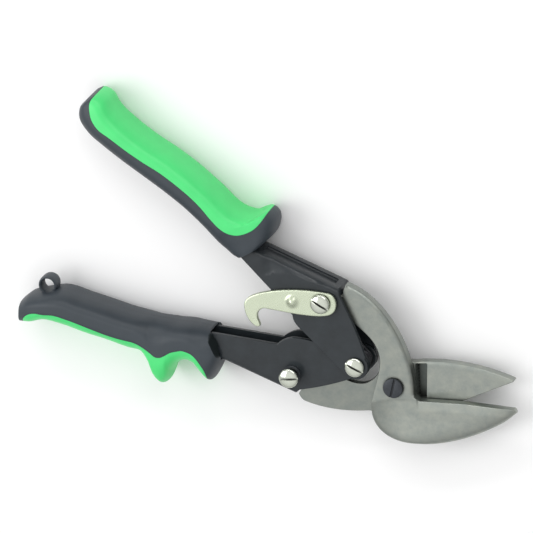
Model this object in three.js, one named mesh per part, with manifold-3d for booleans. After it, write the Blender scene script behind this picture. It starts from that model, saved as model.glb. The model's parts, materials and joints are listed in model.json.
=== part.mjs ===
// Offset compound-action aviation snips, right cutting, lying flat on their back face.
// Millimetres. +X is the way the jaws point, +Y is towards the upper handle, +Z is along the pivots.
// The drawing origin is the blade pivot in the plane where the two blades shear past each other;
// the finished group is moved so that its origin is the middle of the bounding box at its lowest face.
import * as THREE from 'three';
import * as BufferGeometryUtils from 'three/addons/utils/BufferGeometryUtils.js';
import Module from 'manifold-3d';

const wasm = await Module();
wasm.setup();

// ---- driving dimensions -------------------------------------------------------------------
const GAP = 0.3;                 // air between neighbouring pieces
const SHEAR_GAP = 0.15;          // half of the air between the two blades

const BLADE = 5.5;               // thickness of a blade at hub and jaw
const REAR_TANG = 4.0;           // thickness of the back blade's tang, which fits the inner channel
const SHEET = 2.2;               // handle sheet
const INNER_HALF = 6.5;          // outer half width of the lower handle's channel
const OUTER_HALF = 9.0;          // outer half width of the upper handle's channel
const GRIP_HALF = 13;            // half thickness of the grips
const FLOOR = -GRIP_HALF;        // lowest plane, where the snips rest

const LATCH_THICK = 2.0;
const LATCH_LOW = OUTER_HALF + GAP;
const LATCH_SEAT = LATCH_LOW + LATCH_THICK + GAP; // where the heads above the latch's plane sit
const LATCH_DIMPLE = new THREE.Vector2(-14, 0.2); // from the upper link screw
const LATCH_DIMPLE_R = 3.9;
const SCREW_R = 3.0;             // shank of the link and handle screws
const HEAD_R = 4.75;             // screw heads
const HEAD_RIM = 0.9;            // straight rim under each domed head
const HEAD_DOME = 1.5;
const BOLT_R = 4.0;              // shank of the blade pivot bolt
const BOLT_HEAD_R = 4.9;
const SLOT_WIDTH = 1.2;
const SLOT_DEPTH = 1.1;
const HANDLE_END_R = 6.4;        // rounded ends of both handles around the handle pivot
const TANG_END_R = 6.0;          // rounded end of the front blade's tang
const REAR_TANG_END_R = 5.5;     // rounded end of the back blade's tang
const POST_NECK_R = 3.2;         // neck of the screw that the latch catches
const SPACER_R = 4.4;            // spacers beside the tangs, which the spring's legs push against
const SPRING_R = 5.0;            // mean radius of the torsion spring
const SPRING_WIRE = 1.5;
const SPRING_PITCH = 1.65;
const SPRING_TURNS = 3;

// ---- linkage points, open -----------------------------------------------------------------
const UPPER_LINK = new THREE.Vector2(-32.5, 42.6);
const LOWER_LINK = new THREE.Vector2(-50, 4.3);
const HANDLE_PIVOT = new THREE.Vector2(-17.6, 10.7);
const BLADE_PIVOT = new THREE.Vector2(0, 0);

// ---- blade details ------------------------------------------------------------------------
const CUTTING_EDGE = [[10, -6.4], [62, -8.9]];   // front blade
const EDGE_BAND = 4.4;                           // width of the ground band along the cutting edge
const EDGE_HEIGHT = 5.0;                         // blade thickness left at the cutting edge
const BELLY = [
  [53.2, -16], [45.4, -20.3], [37.7, -23.7], [30, -26.4], [22.3, -28.2], [14.7, -29], [8, -28.9],
];
const POCKET = [[9.6, 10.7], [15.7, 11.1], [14.6, -8], [10.4, -8], [9.6, -6]];
const POCKET_FLOOR = 1.2;                        // back blade thickness left under the pocket

// ---- upper handle's web -------------------------------------------------------------------
const WEB_BACK = new THREE.Vector2(-64, 66.4);
const WEB_FRONT = new THREE.Vector2(-24.4, 49);
const WEB_MIDDLE = WEB_BACK.clone().lerp(WEB_FRONT, 0.5);
const WEB_ANGLE = WEB_FRONT.clone().sub(WEB_BACK).angle();
const WEB_CHAMFER = 2.2;
const WEB_GROOVE = { length: 38, width: 6.6, depth: 1.3 };

// ---- grips: outlines and the border between their two colours ------------------------------
// Columns: upper edge x, y, lower edge x, y, half thickness.
const UPPER_GRIP = [
  [-61.4, 68.9, -74.8, 61.6, 11.4],
  [-55.8, 74.9, -77.4, 62.4, 12],
  [-54.5, 82.4, -80.8, 65, 12.4],
  [-58.2, 85.7, -84.8, 68.6, 12.8],
  [-64.6, 82.6, -88, 72.7, 13],
  [-73.2, 84.6, -92.3, 78, 13],
  [-83.4, 94, -101.2, 86.4, 13],
  [-93, 102.6, -110.7, 93.8, 13],
  [-103.4, 110.5, -120.6, 100.9, 13],
  [-114.4, 117.5, -130.1, 107.8, 13],
  [-124.3, 125, -139, 114.7, 13],
  [-131.9, 132.5, -146.1, 120.7, 12.6],
  [-135.4, 139, -150.4, 127.4, 11.8],
  [-139.8, 141, -149.8, 133.2, 10.4],
  [-143.2, 139.8, -147, 136.4, 7.6],
];
const LOWER_GRIP = [
  [-87.8, 24.4, -84.6, 10.2, 7.8],
  [-90.6, 25, -87.6, 3, 12],
  [-94.4, 25.8, -91.6, -2, 12.8],
  [-97.4, 26.1, -95.4, 2, 13],
  [-100, 26.4, -98.6, 6.4, 13],
  [-103.6, 26.6, -102.4, 8, 13],
  [-107.4, 26.8, -106.8, 6.8, 13],
  [-110.6, 27.3, -110.6, 2.4, 13],
  [-113.4, 27.8, -112.7, -2.8, 13],
  [-116.6, 28.2, -115.8, -4.9, 13],
  [-119.4, 28.6, -118.6, -2.4, 13],
  [-122, 28.9, -120.6, 4.6, 13],
  [-126, 29.4, -124.4, 11.2, 13],
  [-133, 31, -131.6, 13, 13],
  [-143, 34, -142.2, 16.4, 13],
  [-153, 36.9, -152, 19, 13],
  [-164, 40, -163, 22.6, 13],
  [-174, 38.6, -173, 24.8, 12.4],
  [-180.6, 37, -180.8, 23, 10.8],
  [-185.2, 33.6, -186.2, 22.8, 8],
];

const UPPER_GREEN_EDGE = [
  [-128, 150], [-132.4, 144.6], [-135.2, 143.3], [-138.2, 142.3], [-141.1, 140.2], [-142.7, 137.3],
  [-142.6, 133.1],
  [-141.5, 129], [-138.6, 124.9], [-133.2, 121.1], [-125.2, 115.2], [-117.1, 109.8], [-109.1, 105],
  [-101.1, 99.1], [-94.1, 93.2], [-89.2, 88.2], [-84.3, 82.2], [-80.4, 78.2], [-76.3, 75.8], [-72.2, 75.2],
  [-68, 76.2], [-63.7, 78.5], [-60.4, 81.8], [-57.1, 86.7], [-53.5, 91.1],
];
const LOWER_GREEN_EDGE = [
  [-184, 12], [-184.4, 22], [-183.2, 26], [-181.7, 27.7], [-179.6, 29.1], [-176.4, 29.9], [-171.9, 29.6],
  [-166.7, 29.7], [-160.5, 28.1], [-154.4, 26.1], [-146.3, 23.1], [-139.5, 20.8], [-132.6, 19.2],
  [-127.1, 18.1], [-122.4, 15.9], [-119.1, 13.6], [-116.4, 11.5], [-114, 11.3], [-111.5, 12.4],
  [-108.7, 14], [-105.8, 14.8], [-103.1, 15.3], [-101, 14.9], [-98.3, 13.8], [-96.3, 12], [-94.4, 9.3],
  [-93, 6.8], [-92.2, 4.3], [-92, -2], [-91.6, -10],
];
const LANYARD = new THREE.Vector2(-171.6, 41.8);
const LANYARD_OUTER = 4.7;
const LANYARD_HOLE = 3.1;
const LANYARD_HALF = 4.0;

// ---- materials ----------------------------------------------------------------------------
const material = (color, roughness, metalness) => (
  new THREE.MeshStandardMaterial({ color, roughness, metalness })
);
const bladeSteel = () => material(0x8f9794, 0.45, 0.8);
const coatedSteel = () => material(0x3f4448, 0.45, 0.6);
const plated = () => material(0xd2d8c4, 0.22, 0.95);
const blackOxide = () => material(0x35383c, 0.5, 0.7);
const blackVinyl = () => material(0x3c4246, 0.6, 0);
const greenVinyl = () => material(0x5fdc82, 0.5, 0);
const springSteel = () => material(0x2a2c2e, 0.4, 0.8);

// ---- solids -------------------------------------------------------------------------------
const rad = (degrees) => (degrees * Math.PI) / 180;
const vectors = (points) => points.map(([x, y]) => new THREE.Vector2(x, y));

function polar(length, degrees) {
  return new THREE.Vector2(length * Math.cos(rad(degrees)), length * Math.sin(rad(degrees)));
}

function solidOf(geometry) {
  let merged = geometry.clone();
  merged.deleteAttribute('normal');
  merged.deleteAttribute('uv');
  merged = BufferGeometryUtils.mergeVertices(merged, 1e-5);
  return new wasm.Manifold(new wasm.Mesh({
    numProp: 3,
    vertProperties: new Float32Array(merged.attributes.position.array),
    triVerts: new Uint32Array(merged.index.array),
  }));
}

function geometryOf(solid) {
  const mesh = solid.getMesh();
  const geometry = new THREE.BufferGeometry();
  geometry.setAttribute('position', new THREE.BufferAttribute(new Float32Array(mesh.vertProperties), 3));
  geometry.setIndex(new THREE.BufferAttribute(new Uint32Array(mesh.triVerts), 1));
  geometry.computeVertexNormals();
  return geometry;
}

const cut = (solid, ...tools) => tools.reduce((left, tool) => left.subtract(tool), solid);

// A plate is a shape in the XY plane with thickness from low to high.
function plate(shape, low, high, curveSegments = 10) {
  const depth = high - low;
  const geometry = new THREE.ExtrudeGeometry(shape, { depth, bevelEnabled: false, curveSegments });
  geometry.translate(0, 0, low);
  return solidOf(geometry);
}

const polygon = (points) => new THREE.Shape(vectors(points));

// A rod stands along Z at a point.
function rod(centre, radius, low, high, sides = 28) {
  const geometry = new THREE.CylinderGeometry(radius, radius, high - low, sides);
  geometry.rotateX(Math.PI / 2);
  geometry.translate(centre.x, centre.y, (low + high) / 2);
  return solidOf(geometry);
}

function tube(centre, outer, inner, low, high) {
  return cut(rod(centre, outer, low, high), rod(centre, inner, low - 1, high + 1));
}

// A turned piece: profile points are radius and height, from the axis back to the axis.
function turned(centre, profile, sides = 28) {
  const points = profile.map(([r, z]) => new THREE.Vector2(r, z));
  const geometry = new THREE.LatheGeometry(points, sides);
  geometry.rotateX(Math.PI / 2);
  geometry.translate(centre.x, centre.y, 0);
  return solidOf(geometry);
}

function slotCutter(centre, width, radius, low, high, degrees) {
  const geometry = new THREE.BoxGeometry(2 * radius, width, high - low);
  geometry.rotateZ(rad(degrees));
  geometry.translate(centre.x, centre.y, (low + high) / 2);
  return solidOf(geometry);
}

// Domed, slotted screw: a shank from bottom to the seat, and a head above the seat.
function domedScrew(centre, shankRadius, bottom, seat, slotAngle) {
  const top = seat + HEAD_RIM + HEAD_DOME;
  const domePoints = [];
  const domeSteps = 5;
  for (let i = 0; i <= domeSteps; i += 1) {
    const angle = (i / domeSteps) * (Math.PI / 2);
    domePoints.push([HEAD_R * Math.cos(angle), seat + HEAD_RIM + HEAD_DOME * Math.sin(angle)]);
  }
  domePoints[domeSteps][0] = 0;
  const shank = [[0, bottom], [shankRadius, bottom], [shankRadius, seat], [HEAD_R, seat]];
  const screw = turned(centre, [...shank, ...domePoints]);
  return cut(screw, slotCutter(centre, SLOT_WIDTH, HEAD_R + 1, top - SLOT_DEPTH, top + 1, slotAngle));
}

// Hexagon nut with a hole for the shank.
function hexNut(centre, acrossCorners, holeRadius, low, high, turn) {
  const geometry = new THREE.CylinderGeometry(acrossCorners / 2, acrossCorners / 2, high - low, 6);
  geometry.rotateX(Math.PI / 2);
  geometry.rotateZ(rad(turn));
  geometry.translate(centre.x, centre.y, (low + high) / 2);
  return cut(solidOf(geometry), rod(centre, holeRadius, low - 1, high + 1));
}

// ---- blades -------------------------------------------------------------------------------
// Front blade: upper tang, hub and lower jaw.
function frontBlade() {
  const outline = new THREE.Shape();
  outline.moveTo(10.9, -5.2);
  outline.lineTo(12.2, -6.4);
  outline.lineTo(35, -6.7);
  outline.lineTo(58.8, -8.6);
  outline.quadraticCurveTo(59.9, -9.6, 59.7, -10.9);
  outline.splineThru(vectors(BELLY));
  outline.bezierCurveTo(-4, -28.6, -12.4, -22, -12.2, -12.5);
  outline.bezierCurveTo(-11.6, -6, -7.4, 3, -6.3, 12);
  outline.bezierCurveTo(-6, 19, -9, 23.4, -15, 28.6);
  outline.lineTo(-25.6, 37.9);
  const tangStart = Math.atan2(37.9 - UPPER_LINK.y, -25.6 - UPPER_LINK.x);
  outline.absarc(UPPER_LINK.x, UPPER_LINK.y, TANG_END_R, tangStart, rad(50), true);
  outline.lineTo(-23.1, 44.9);
  outline.lineTo(-22.9, 47.4);
  outline.lineTo(-21.6, 50.3);
  outline.quadraticCurveTo(-20.4, 50.5, -18.8, 49.4);
  outline.bezierCurveTo(-3, 42.6, 9.6, 20, 9.7, 0);
  outline.lineTo(9.8, -3.4);
  outline.quadraticCurveTo(9.9, -4.8, 10.9, -5.2);
  const body = plate(outline, SHEAR_GAP, BLADE);
  return cut(
    body,
    rod(BLADE_PIVOT, BOLT_R + GAP, -1, BLADE + 1),
    rod(UPPER_LINK, SCREW_R + GAP, -1, BLADE + 1),
    edgeBevel(CUTTING_EDGE, BLADE - EDGE_HEIGHT, EDGE_BAND),
    bellyBevel(),
  );
}

// Wedge that slopes the jaw's outer face down by drop over width, to the cutting edge.
function edgeBevel([[x0, y0], [x1, y1]], drop, width) {
  const section = polygon([[-1, drop * (1 + 1 / width)], [-1, -1], [width, -1], [width, 0.01]]);
  const length = Math.hypot(x1 - x0, y1 - y0);
  const geometry = new THREE.ExtrudeGeometry(section, { depth: length, bevelEnabled: false });
  // section x runs away from the edge, section y runs down from the blade's outer face
  const along = new THREE.Vector3((x1 - x0) / length, (y1 - y0) / length, 0);
  const away = new THREE.Vector3(along.y, -along.x, 0);
  const down = new THREE.Vector3(0, 0, -1);
  geometry.applyMatrix4(new THREE.Matrix4().makeBasis(away, down, along));
  geometry.translate(x0, y0, BLADE);
  return solidOf(geometry);
}

// The jaw's belly is chamfered towards the tip.
function bellyBevel() {
  const geometry = new THREE.BoxGeometry(90, 12, 12);
  geometry.translate(0, -6, 6);
  geometry.rotateX(rad(-38));
  geometry.rotateZ(rad(24));
  geometry.translate(44, -18.4, BLADE - 1.6);
  return solidOf(geometry);
}

// Back blade: lower tang, hub and upper jaw, with a shallow pocket beside the hub.
function backBlade() {
  const outline = new THREE.Shape();
  outline.moveTo(9, 11.3);
  outline.bezierCurveTo(26, 13.6, 44, 10.2, 57, 5);
  outline.quadraticCurveTo(58.6, 4.5, 57.9, 3.9);
  outline.lineTo(33.7, -6.6);
  outline.quadraticCurveTo(20, -11.6, 8, -14);
  outline.quadraticCurveTo(-4, -15.8, -14.6, -14.4);
  outline.bezierCurveTo(-26, -15.8, -38, -14.6, -46.6, -11.2);
  outline.quadraticCurveTo(-48.6, -10, -49.3, -7.6);
  outline.lineTo(-48.6, -6.6);
  outline.lineTo(-47, -4.6);
  outline.lineTo(-47.9, -2.2);
  outline.absarc(LOWER_LINK.x, LOWER_LINK.y, REAR_TANG_END_R, rad(-60), rad(-290), true);
  outline.lineTo(-31, 3.8);
  outline.bezierCurveTo(-24, -0.2, -17, -3.4, -11.3, 2);
  outline.bezierCurveTo(-8.6, 4.6, -7, 11, -1, 11.2);
  outline.lineTo(9, 11.3);
  const body = plate(outline, -BLADE, -SHEAR_GAP);
  const tangCut = polygon([[-70, -30], [-15.5, -30], [-11, -2], [-8, 3], [-5, 30], [-70, 30]]);
  return cut(
    body,
    plate(tangCut, -BLADE - 1, -REAR_TANG),
    plate(polygon(POCKET), -BLADE + POCKET_FLOOR, 1),
    rod(BLADE_PIVOT, BOLT_R + GAP + 0.2, -BLADE - 1, 1),
    rod(LOWER_LINK, SCREW_R + GAP, -BLADE - 1, 1),
  );
}

// ---- handles ------------------------------------------------------------------------------
// Lower handle: inner channel, open at the top, with its web along the bottom edge.
function lowerHandle() {
  const flange = new THREE.Shape();
  flange.moveTo(-135, 24.5);
  flange.lineTo(-89.7, 23.1);
  flange.lineTo(-56.9, 19.1);
  flange.quadraticCurveTo(-54, 21.9, -49, 22.9);
  flange.quadraticCurveTo(-40, 22.6, HANDLE_PIVOT.x - 3, HANDLE_PIVOT.y + HANDLE_END_R);
  flange.absarc(HANDLE_PIVOT.x, HANDLE_PIVOT.y, HANDLE_END_R, rad(100), rad(-100), true);
  flange.quadraticCurveTo(-32, -0.9, -46.7, -3.4);
  flange.lineTo(-49, -5.5);
  flange.lineTo(-83.7, 9.3);
  flange.lineTo(-97, 14.6);
  flange.lineTo(-135, 17);
  const outer = plate(flange, -INNER_HALF, INNER_HALF);
  const hollow = polygon([
    [-140, 19.4], [-97, 17.1], [-83, 11.6], [-48.9, -3], [-47, -8], [0, -8], [0, 30], [-140, 30],
  ]);
  const inside = INNER_HALF - SHEET;
  return cut(
    outer,
    plate(hollow, -inside, inside),
    rod(HANDLE_PIVOT, SCREW_R + GAP, -20, 20),
    rod(LOWER_LINK, SCREW_R + GAP, -20, 20),
  );
}

// Upper handle: outer channel, open at the bottom, with a grooved web along the top edge.
function upperHandle() {
  const flange = new THREE.Shape();
  flange.moveTo(-113, 103);
  flange.lineTo(-76, 73.4);
  flange.lineTo(WEB_BACK.x, WEB_BACK.y);
  flange.lineTo(WEB_FRONT.x, WEB_FRONT.y);
  flange.lineTo(-23.6, 45.6);
  flange.bezierCurveTo(-19, 36, -16, 29, -12.2, 15.4);
  flange.absarc(HANDLE_PIVOT.x, HANDLE_PIVOT.y, HANDLE_END_R, rad(40), rad(220), true);
  flange.lineTo(-43.2, 27.7);
  flange.quadraticCurveTo(-47.6, 31.4, -47.5, 35);
  flange.lineTo(-57.9, 47.7);
  flange.lineTo(-72.6, 63.8);
  flange.lineTo(-74.4, 67);
  flange.lineTo(-100, 88.2);
  flange.lineTo(-116, 100.6);
  const outer = plate(flange, -OUTER_HALF, OUTER_HALF);
  const hollow = polygon([
    [-118, 104.2], [-77, 71], [-64.6, 63.8], [-20, 44.2], [0, 40], [0, -8], [-40, 0], [-60, 44], [-125, 92],
  ]);
  const inside = OUTER_HALF - SHEET;
  // the part inside the grip is pressed narrower
  const tail = polygon([[-130, 110], [-74, 110], [-74, 40], [-130, 40]]);
  const tailHalf = 7.2;
  return cut(
    outer,
    plate(hollow, -inside, inside),
    webGroove(),
    webCorner(1),
    webCorner(-1),
    plate(tail, tailHalf, OUTER_HALF + 1),
    plate(tail, -OUTER_HALF - 1, -tailHalf),
    rod(HANDLE_PIVOT, SCREW_R + GAP, -20, 20),
    rod(UPPER_LINK, SCREW_R + GAP, -20, 20),
  );
}

// Pressed groove along the outside of the upper handle's web.
function webGroove() {
  const { length, width, depth } = WEB_GROOVE;
  const groove = new THREE.BoxGeometry(length, 2 * depth, width);
  groove.rotateZ(WEB_ANGLE);
  groove.translate(WEB_MIDDLE.x, WEB_MIDDLE.y, 0);
  return solidOf(groove);
}

// The bend between the web and a flange of the upper handle, cut as a chamfer; side is 1 near, -1 far.
function webCorner(side) {
  const corner = new THREE.BoxGeometry(60, WEB_CHAMFER * Math.SQRT2, WEB_CHAMFER * Math.SQRT2);
  corner.rotateX(Math.PI / 4);
  corner.rotateZ(WEB_ANGLE);
  corner.translate(WEB_MIDDLE.x, WEB_MIDDLE.y, side * OUTER_HALF);
  return solidOf(corner);
}

// ---- grips --------------------------------------------------------------------------------
// A grip is lofted through pairs of points, one on its upper edge and one on its lower edge,
// with a half thickness at each pair. Half of the section: 1 is the upper edge, which is fuller,
// and -1 the lower edge, which is nearly elliptical; the second number is the share of the half thickness.
const SECTION = [
  [1, 0], [0.97, 0.36], [0.87, 0.66], [0.66, 0.89], [0.36, 1], [0, 1],
  [-0.3, 0.98], [-0.58, 0.87], [-0.8, 0.68], [-0.94, 0.38], [-1, 0],
];
const RING = [...SECTION, ...SECTION.slice(1, -1).reverse().map(([across, up]) => [across, -up])];

function loft(stations, steps) {
  const outer = new THREE.CatmullRomCurve3(stations.map(([x, y]) => new THREE.Vector3(x, y, 0)));
  const inner = new THREE.CatmullRomCurve3(stations.map(([, , x, y]) => new THREE.Vector3(x, y, 0)));
  const half = new THREE.CatmullRomCurve3(stations.map(([, , , , h], i) => new THREE.Vector3(i, h, 0)));
  const positions = [];
  for (let i = 0; i <= steps; i += 1) {
    const t = i / steps;
    const a = outer.getPoint(t);
    const b = inner.getPoint(t);
    const middle = a.clone().add(b).multiplyScalar(0.5);
    const reach = a.clone().sub(b).multiplyScalar(0.5);
    const thick = Math.min(half.getPoint(t).y, GRIP_HALF);
    RING.forEach(([across, up]) => {
      positions.push(middle.x + reach.x * across, middle.y + reach.y * across, thick * up);
    });
  }
  const count = RING.length;
  const index = [];
  for (let i = 0; i < steps; i += 1) {
    for (let j = 0; j < count; j += 1) {
      const next = (j + 1) % count;
      const low = i * count;
      const high = low + count;
      index.push(low + j, high + j, low + next, low + next, high + j, high + next);
    }
  }
  const last = steps * count;
  for (let j = 1; j < count - 1; j += 1) {
    index.push(0, j, j + 1);
    index.push(last, last + j + 1, last + j);
  }
  const geometry = new THREE.BufferGeometry();
  geometry.setAttribute('position', new THREE.Float32BufferAttribute(positions, 3));
  geometry.setIndex(index);
  return solidOf(geometry);
}

// The green side of a border, closed through corners outside the grip.
function greenRegion(edge, corners) {
  const border = new THREE.SplineCurve(vectors(edge)).getPoints(edge.length * 2);
  return new THREE.Shape([...border, ...vectors(corners)]);
}

// The seam between the two colours is a GAP wide: the black part is cut by the region moved all ways.
function splitGrip(whole, region) {
  const tool = plate(region, -2 * GRIP_HALF, 2 * GRIP_HALF);
  const directions = [0, 45, 90, 135, 180, 225, 270, 315].map((degrees) => polar(GAP, degrees));
  const wider = directions.map((shift) => tool.translate([shift.x, shift.y, 0]));
  return { core: cut(whole, ...wider), overlay: whole.intersect(tool) };
}

function upperGripParts() {
  const whole = loft(UPPER_GRIP, 44);
  const socketHalf = 7.5;
  const mouthHalf = OUTER_HALF + GAP;
  const socket = plate(polygon([
    [-116, 106.2], [-77, 75.2], [-65, 68.4], [-50, 64], [-60, 46], [-72.6, 63.2], [-74.8, 66.6],
    [-100.2, 87.7], [-118, 101.4],
  ]), -socketHalf, socketHalf);
  const mouth = plate(polygon([
    [-74.8, 73.4], [-65, 68.4], [-50, 64], [-60, 46], [-72.8, 63.2], [-74.8, 66.6],
  ]), -mouthHalf, mouthHalf);
  const region = greenRegion(UPPER_GREEN_EDGE, [[-40, 110], [-80, 160]]);
  return splitGrip(cut(whole, socket, mouth), region);
}

function lowerGripParts() {
  const whole = loft(LOWER_GRIP, 60);
  const socket = plate(polygon([
    [-137, 27], [-90, 23.9], [-80, 22.8], [-80, 7.6], [-97.3, 14.2], [-137, 16.6],
  ]), -INNER_HALF - GAP, INNER_HALF + GAP);
  const region = greenRegion(LOWER_GREEN_EDGE, [[-95, -16], [-184, -16]]);
  const { core, overlay } = splitGrip(cut(whole, socket), region);
  const ring = tube(LANYARD, LANYARD_OUTER, LANYARD_HOLE, -LANYARD_HALF, LANYARD_HALF);
  const hole = rod(LANYARD, LANYARD_HOLE, -GRIP_HALF, GRIP_HALF);
  return { core: cut(core.add(ring), hole), overlay };
}

// ---- latch --------------------------------------------------------------------------------
// Drawn about the upper link screw, hook to the left and open downwards.
function latch() {
  const outline = new THREE.Shape();
  outline.moveTo(3.8, -5.9);
  outline.quadraticCurveTo(7.6, -4.4, 7.7, -0.4);
  outline.quadraticCurveTo(7.6, 3.6, 4.3, 4.9);
  outline.bezierCurveTo(-6, 6.8, -22, 6.8, -32.4, 3);
  outline.quadraticCurveTo(-38, 1, -38.3, -2.6);
  outline.bezierCurveTo(-38.3, -7.4, -36.2, -11.4, -33, -13.2);
  outline.quadraticCurveTo(-31, -13.9, -30.6, -12.4);
  outline.quadraticCurveTo(-30.9, -11, -31.7, -9.2);
  outline.absarc(-27.9, -7.9, 3.9, rad(200), rad(88), true);
  outline.bezierCurveTo(-20, -5, -14, -6.2, -5.7, -6.6);
  outline.quadraticCurveTo(0.4, -6.9, 3.8, -5.9);
  const hole = new THREE.Path();
  hole.absarc(0, 0, SCREW_R + GAP, 0, 2 * Math.PI, true);
  outline.holes.push(hole);
  const body = plate(outline, LATCH_LOW, LATCH_LOW + LATCH_THICK);
  const face = LATCH_LOW + LATCH_THICK;
  const dimple = turned(LATCH_DIMPLE, [
    [0, LATCH_LOW + 1], [LATCH_DIMPLE_R, LATCH_LOW + 1], [LATCH_DIMPLE_R, face], [2.8, face + 0.9],
    [1.5, face + 1.3], [0, face + 1.4],
  ], 20);
  return body.add(dimple).translate([UPPER_LINK.x, UPPER_LINK.y, 0]);
}

// ---- torsion spring -----------------------------------------------------------------------
// Coil around the handle pivot with one leg against each link spacer.
class SpringLine extends THREE.Curve {
  constructor() {
    super();
    const height = (SPRING_TURNS + 0.25) * SPRING_PITCH;
    this.top = height / 2;
    const contact = SPACER_R + SPRING_WIRE / 2 + GAP;
    this.lowerEnd = tangentPoint(LOWER_LINK, contact, -1);
    this.upperEnd = tangentPoint(UPPER_LINK, contact, 1);
    this.startAngle = legAngle(this.lowerEnd, 1);
    this.endAngle = legAngle(this.upperEnd, -1);
  }

  getPoint(t) {
    const legShare = 0.16;
    const onCoil = (angle, z) => new THREE.Vector3(
      HANDLE_PIVOT.x + SPRING_R * Math.cos(angle),
      HANDLE_PIVOT.y + SPRING_R * Math.sin(angle),
      z,
    );
    const turn = wrap(this.endAngle - this.startAngle) + 2 * Math.PI * (SPRING_TURNS - 1);
    if (t < legShare) {
      const start = onCoil(this.startAngle, this.top);
      return new THREE.Vector3(this.lowerEnd.x, this.lowerEnd.y, this.top).lerp(start, t / legShare);
    }
    if (t > 1 - legShare) {
      const end = new THREE.Vector3(this.upperEnd.x, this.upperEnd.y, -this.top);
      return onCoil(this.endAngle, -this.top).lerp(end, (t - 1 + legShare) / legShare);
    }
    const u = (t - legShare) / (1 - 2 * legShare);
    return onCoil(this.startAngle + turn * u, this.top * (1 - 2 * u));
  }
}

// Point beside a link screw, on the side that faces the other screw.
function tangentPoint(link, distance, side) {
  const toLink = link.clone().sub(HANDLE_PIVOT).normalize();
  return new THREE.Vector2(link.x - side * toLink.y * distance, link.y + side * toLink.x * distance);
}

// Where on the coil a straight leg to a point leaves it.
function legAngle(point, side) {
  const offset = point.clone().sub(HANDLE_PIVOT);
  return offset.angle() + side * Math.acos(SPRING_R / offset.length());
}

const wrap = (angle) => ((angle % (2 * Math.PI)) + 2 * Math.PI) % (2 * Math.PI);

function torsionSpring() {
  const section = new THREE.Shape();
  section.absarc(0, 0, SPRING_WIRE / 2, 0, 2 * Math.PI, false);
  return new THREE.ExtrudeGeometry(section, { steps: 90, curveSegments: 4, extrudePath: new SpringLine() });
}

// ---- assembly -----------------------------------------------------------------------------
const upperGrip = upperGripParts();
const lowerGrip = lowerGripParts();

// Lower link screw: its head stands off the flange on a neck that the latch catches.
function latchPost() {
  const neck = rod(LOWER_LINK, POST_NECK_R, INNER_HALF + GAP, LATCH_SEAT);
  return domedScrew(LOWER_LINK, SCREW_R, FLOOR + 1.6, LATCH_SEAT, 3).add(neck);
}

function pivotBolt() {
  const seat = BLADE + GAP;
  const bolt = turned(BLADE_PIVOT, [
    [0, FLOOR], [BOLT_R, FLOOR], [BOLT_R, seat], [BOLT_HEAD_R, seat],
    [BOLT_HEAD_R, seat + 1], [BOLT_HEAD_R - 0.5, seat + 1.4], [0, seat + 1.4],
  ]);
  return cut(bolt, slotCutter(BLADE_PIVOT, SLOT_WIDTH, BOLT_HEAD_R + 1, seat + 0.6, seat + 3, 75));
}

const washerTop = -BLADE - GAP;
const washerLow = washerTop - 1.2;
const boltHole = BOLT_R + GAP;
const pieces = [
  ['front_blade', frontBlade(), bladeSteel()],
  ['back_blade', backBlade(), bladeSteel()],
  ['blade_pivot_bolt', pivotBolt(), blackOxide()],
  ['blade_pivot_washer', tube(BLADE_PIVOT, 8.2, boltHole, washerLow, washerTop), blackOxide()],
  ['blade_pivot_nut', hexNut(BLADE_PIVOT, 14.5, boltHole, FLOOR + 0.8, washerLow - GAP, 10), blackOxide()],
  ['upper_handle', upperHandle(), coatedSteel()],
  ['lower_handle', lowerHandle(), coatedSteel()],
  ['upper_grip', upperGrip.core, blackVinyl()],
  ['upper_grip_overlay', upperGrip.overlay, greenVinyl()],
  ['lower_grip', lowerGrip.core, blackVinyl()],
  ['lower_grip_overlay', lowerGrip.overlay, greenVinyl()],
  ['handle_pivot_screw', domedScrew(HANDLE_PIVOT, SCREW_R, FLOOR + 0.4, OUTER_HALF + GAP, -27), plated()],
  ['handle_pivot_nut', hexNut(HANDLE_PIVOT, 10, SCREW_R + GAP, FLOOR + 0.8, -OUTER_HALF - GAP, 5), plated()],
  ['spring_sleeve', tube(HANDLE_PIVOT, 3.95, SCREW_R + GAP, -3.9, 3.9), plated()],
  ['torsion_spring', solidOf(torsionSpring()), springSteel()],
  ['upper_link_screw', domedScrew(UPPER_LINK, SCREW_R, FLOOR + 0.4, LATCH_SEAT, -32), plated()],
  ['upper_link_nut', hexNut(UPPER_LINK, 10, SCREW_R + GAP, FLOOR, -OUTER_HALF - GAP, 20), plated()],
  ['upper_link_spacer', tube(UPPER_LINK, SPACER_R, SCREW_R + GAP, -6.5, -GAP), plated()],
  ['upper_link_shim', tube(UPPER_LINK, SPACER_R + 1, SCREW_R + GAP, BLADE + GAP, 6.5), plated()],
  ['latch_post_screw', latchPost(), plated()],
  ['lower_link_nut', hexNut(LOWER_LINK, 10, SCREW_R + GAP, FLOOR + 2, -INNER_HALF - GAP, 12), plated()],
  ['lower_link_spacer', tube(LOWER_LINK, SPACER_R, SCREW_R + GAP, GAP, 4.0), plated()],
  ['latch', latch(), plated()],
];

const model = new THREE.Group();
pieces.forEach(([name, solid, finish]) => {
  const mesh = new THREE.Mesh(geometryOf(solid), finish);
  mesh.name = name;
  model.add(mesh);
});

const box = new THREE.Box3().setFromObject(model);
const centre = box.getCenter(new THREE.Vector3());
model.position.set(-centre.x, -centre.y, -box.min.z);

const snips = new THREE.Group();
snips.name = 'aviation_snips';
snips.add(model);

export default snips;
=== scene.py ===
# Looks of the aviation snips: finished pieces over the CAD frame, materials, floor, light and camera.
# Shapes are drawn in millimetres in the drawing frame (blade pivot at 0, 0; shear plane at z = 0)
# and moved into the row frame by place().
import json
import math

import bmesh
import bpy
import numpy as np
from mathutils import Matrix, Vector
from mathutils.geometry import delaunay_2d_cdt


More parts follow.
